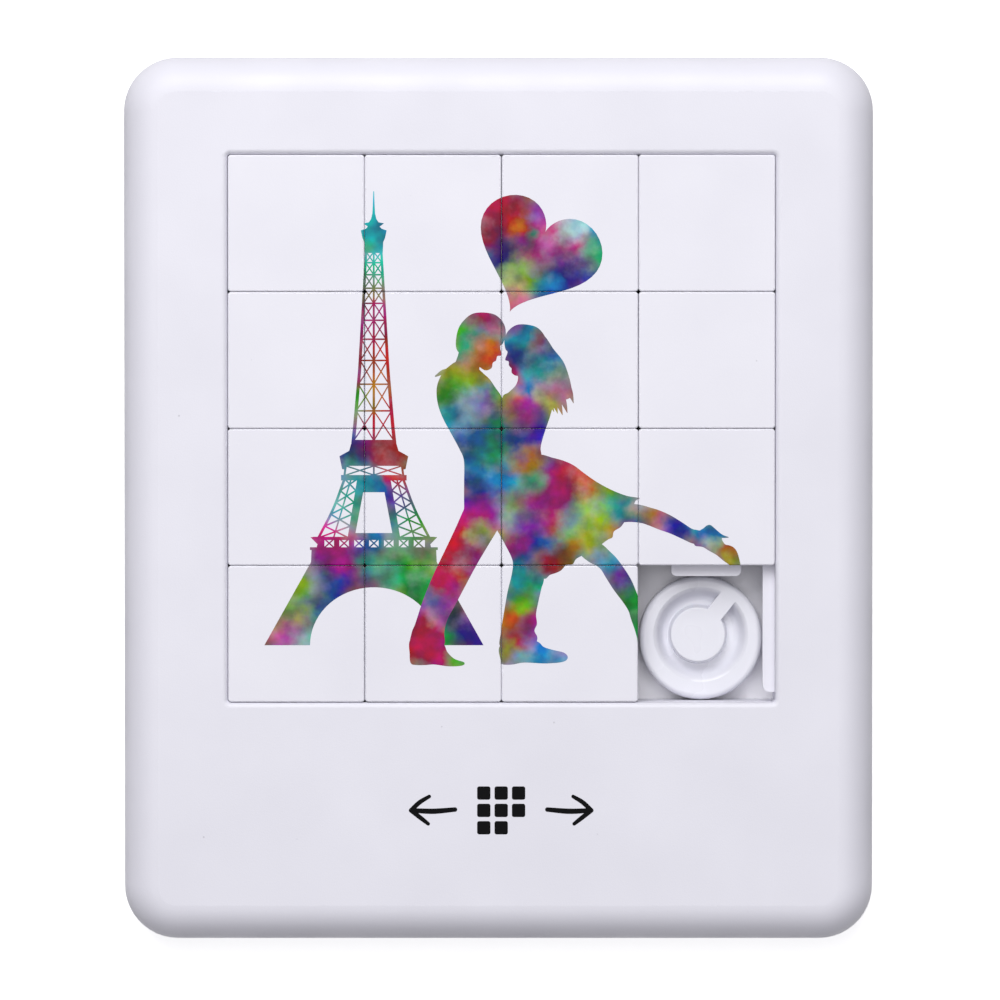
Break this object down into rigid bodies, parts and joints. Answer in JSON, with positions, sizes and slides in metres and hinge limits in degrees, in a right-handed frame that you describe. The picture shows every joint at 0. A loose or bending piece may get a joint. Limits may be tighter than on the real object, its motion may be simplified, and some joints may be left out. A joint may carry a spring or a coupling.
{
  "type": "sliding tile puzzle",
  "caption": "Flat rounded frame holding a square field of interlocking sliding tiles with one free cell, for a pocket picture puzzle.",
  "frame": {"origin": "middle of the back plate's rear face, on the surface the puzzle lies on", "axes": "+X to the right, +Y towards the edge above the tiles, +Z out of the printed face"},
  "size_m": [0.07, 0.0824, 0.008],
  "materials": {
    "frame_plastic": "fine satin, white with a cool tint",
    "back_plastic": "fine satin, white",
    "insert_plastic": "glossy, white",
    "tile_plastic": "fine satin, white",
    "picture_ink": "thin printed film in many colours",
    "black_ink": "thin printed film, black"
  },
  "bodies": {
    "root": {"front_frame": "frame_plastic", "back_plate": "back_plastic", "round_insert": "insert_plastic", "tile_01": "tile_plastic", "tile_02": "tile_plastic", "tile_03": "tile_plastic", "tile_04": "tile_plastic", "tile_05": "tile_plastic", "tile_06": "tile_plastic", "tile_07": "tile_plastic", "tile_08": "tile_plastic", "tile_09": "tile_plastic", "tile_10": "tile_plastic", "tile_11": "tile_plastic", "tile_12": "tile_plastic"},
    "row_tile_1": {"tile_13": "tile_plastic"},
    "row_tile_2": {"tile_14": "tile_plastic"},
    "row_tile_3": {"tile_15": "tile_plastic"}
  },
  "joints": [
    {"name": "row_slide", "type": "slide", "parent": "root", "child": "row_tile_1", "axis": [1, 0, 0], "range_m": [0, 0.01274]},
    {"name": "row_slide_2", "type": "slide", "parent": "root", "child": "row_tile_2", "axis": [1, 0, 0], "range_m": [0, 0.01274]},
    {"name": "row_slide_3", "type": "slide", "parent": "root", "child": "row_tile_3", "axis": [1, 0, 0], "range_m": [0, 0.01274]}
  ],
  "couplings": [
    {"joint": "row_slide_2", "follows": "row_slide", "ratio": 1},
    {"joint": "row_slide_3", "follows": "row_slide", "ratio": 1}
  ]
}
